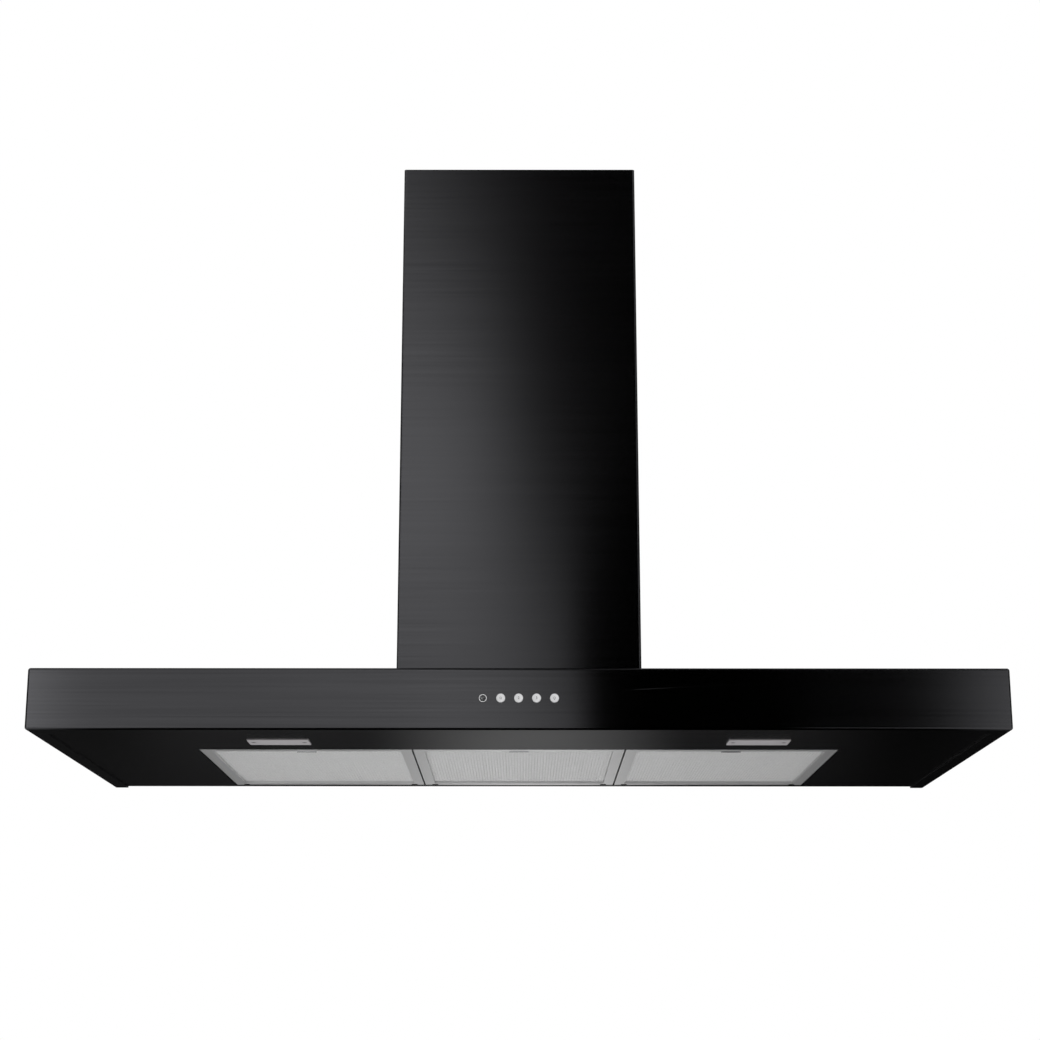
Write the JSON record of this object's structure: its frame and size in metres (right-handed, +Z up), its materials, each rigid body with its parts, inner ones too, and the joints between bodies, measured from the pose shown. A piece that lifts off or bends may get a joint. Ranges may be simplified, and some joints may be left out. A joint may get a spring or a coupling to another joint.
{
  "type": "chimney range hood",
  "caption": "Wall-mounted T-shaped chimney hood: wide thin canopy with push buttons, lamps and lift-out mesh filters, blower and round duct collar inside a telescopic flue cover.",
  "frame": {"origin": "on the wall plane, under the middle of the canopy, level with its lower rim", "axes": "+X to the right seen from the front, +Y into the wall, +Z up"},
  "size_m": [1.1, 0.502, 0.784],
  "materials": {
    "black_steel": "black coated brushed stainless sheet, fine horizontal grain",
    "black_paint": "black coated sheet, satin",
    "galvanised": "galvanised sheet, satin",
    "frame_aluminium": "satin anodised",
    "mesh_aluminium": "woven mesh, satin",
    "spring_steel": "bright",
    "screw_steel": "zinc plated",
    "frosted_glass": "frosted",
    "button_silver": "satin silver",
    "clear_plastic": "clear",
    "bright_ring": "polished",
    "circuit_board": "solder-masked",
    "black_plastic": "moulded, fine grain",
    "flap_plastic": "moulded",
    "cable": "sheathed",
    "motor_body": "cast and painted",
    "capacitor_case": "moulded"
  },
  "bodies": {
    "hood": {"canopy_shell": "black_steel", "lower_flue_cover": "black_steel", "underside_panel": "black_paint", "canopy_back": "black_paint", "filter_dividers": "black_paint", "blower_chamber": "galvanised", "flue_feet": "galvanised", "wall_hanger": "galvanised", "chamber_hook": "galvanised", "flue_wall_bracket": "galvanised", "motor_bracket": "galvanised", "lamp_housing_left": "galvanised", "lamp_housing_right": "galvanised", "inlet_rings": "galvanised", "filter_hooks": "spring_steel", "button_springs": "spring_steel", "damper_pin": "spring_steel", "lamp_screws": "screw_steel", "chamber_screws": "screw_steel", "flue_foot_screws": "screw_steel", "lamp_lens_left": "frosted_glass", "lamp_lens_right": "frosted_glass", "indicator_lens": "clear_plastic", "indicator_ring": "bright_ring", "lamp_boards": "circuit_board", "switch_board": "circuit_board", "power_board": "circuit_board", "button_guide": "black_plastic", "control_box": "black_plastic", "control_box_lid": "black_plastic", "scroll_casing": "black_plastic", "terminal_box": "black_plastic", "cable_gland": "black_plastic", "outlet_collar": "black_plastic", "lamp_leads": "cable", "control_lead": "cable", "motor_lead": "cable", "motor": "motor_body", "capacitor": "capacitor_case"},
    "upper_flue": {"upper_flue_cover": "black_steel"},
    "button_1": {"button_1": "button_silver"},
    "button_2": {"button_2": "button_silver"},
    "button_3": {"button_3": "button_silver"},
    "button_4": {"button_4": "button_silver"},
    "filter_left": {"filter_frame_left": "frame_aluminium", "filter_mesh_left": "mesh_aluminium", "latch_spring_left": "spring_steel"},
    "filter_middle": {"filter_frame_middle": "frame_aluminium", "filter_mesh_middle": "mesh_aluminium", "latch_spring_middle": "spring_steel"},
    "filter_right": {"filter_frame_right": "frame_aluminium", "filter_mesh_right": "mesh_aluminium", "latch_spring_right": "spring_steel"},
    "latch_left": {"filter_latch_left": "spring_steel"},
    "latch_middle": {"filter_latch_middle": "spring_steel"},
    "latch_right": {"filter_latch_right": "spring_steel"},
    "wheel": {"impeller": "black_plastic", "motor_shaft": "spring_steel"},
    "flap_front": {"damper_flap_front": "flap_plastic"},
    "flap_rear": {"damper_flap_rear": "flap_plastic"}
  },
  "joints": [
    {"name": "upper_flue_slide", "type": "slide", "parent": "hood", "child": "upper_flue", "axis": [0, 0, 1], "range_m": [0, 0.35]},
    {"name": "button_1_press", "type": "slide", "parent": "hood", "child": "button_1", "axis": [0, 1, 0], "range_m": [0, 0.0015], "stiffness_N_per_m": 400, "springref_m": -0.0006, "deforming": ["button_springs"]},
    {"name": "button_2_press", "type": "slide", "parent": "hood", "child": "button_2", "axis": [0, 1, 0], "range_m": [0, 0.0015], "stiffness_N_per_m": 400, "springref_m": -0.0006, "deforming": ["button_springs"]},
    {"name": "button_3_press", "type": "slide", "parent": "hood", "child": "button_3", "axis": [0, 1, 0], "range_m": [0, 0.0015], "stiffness_N_per_m": 400, "springref_m": -0.0006, "deforming": ["button_springs"]},
    {"name": "button_4_press", "type": "slide", "parent": "hood", "child": "button_4", "axis": [0, 1, 0], "range_m": [0, 0.0015], "stiffness_N_per_m": 400, "springref_m": -0.0006, "deforming": ["button_springs"]},
    {"name": "filter_left_tilt", "type": "hinge", "parent": "hood", "child": "filter_left", "pos_m": [-0.2545, -0.02, 0.007], "axis": [1, 0, 0], "range_deg": [0, 75]},
    {"name": "latch_left_slide", "type": "slide", "parent": "filter_left", "child": "latch_left", "axis": [0, 1, 0], "range_m": [0, 0.003], "stiffness_N_per_m": 300, "springref_m": -0.002, "deforming": ["latch_spring_left"]},
    {"name": "filter_middle_tilt", "type": "hinge", "parent": "hood", "child": "filter_middle", "pos_m": [0, -0.02, 0.007], "axis": [1, 0, 0], "range_deg": [0, 75]},
    {"name": "latch_middle_slide", "type": "slide", "parent": "filter_middle", "child": "latch_middle", "axis": [0, 1, 0], "range_m": [0, 0.003], "stiffness_N_per_m": 300, "springref_m": -0.002, "deforming": ["latch_spring_middle"]},
    {"name": "filter_right_tilt", "type": "hinge", "parent": "hood", "child": "filter_right", "pos_m": [0.2545, -0.02, 0.007], "axis": [1, 0, 0], "range_deg": [0, 75]},
    {"name": "latch_right_slide", "type": "slide", "parent": "filter_right", "child": "latch_right", "axis": [0, 1, 0], "range_m": [0, 0.003], "stiffness_N_per_m": 300, "springref_m": -0.002, "deforming": ["latch_spring_right"]},
    {"name": "wheel_spin", "type": "hinge", "parent": "hood", "child": "wheel", "pos_m": [0, -0.122, 0.19], "axis": [1, 0, 0], "continuous": true},
    {"name": "flap_front_swing", "type": "hinge", "parent": "hood", "child": "flap_front", "pos_m": [0, -0.132, 0.39], "axis": [-1, 0, 0], "range_deg": [0, 75]},
    {"name": "flap_rear_swing", "type": "hinge", "parent": "hood", "child": "flap_rear", "pos_m": [0, -0.132, 0.39], "axis": [1, 0, 0], "range_deg": [0, 75]}
  ]
}
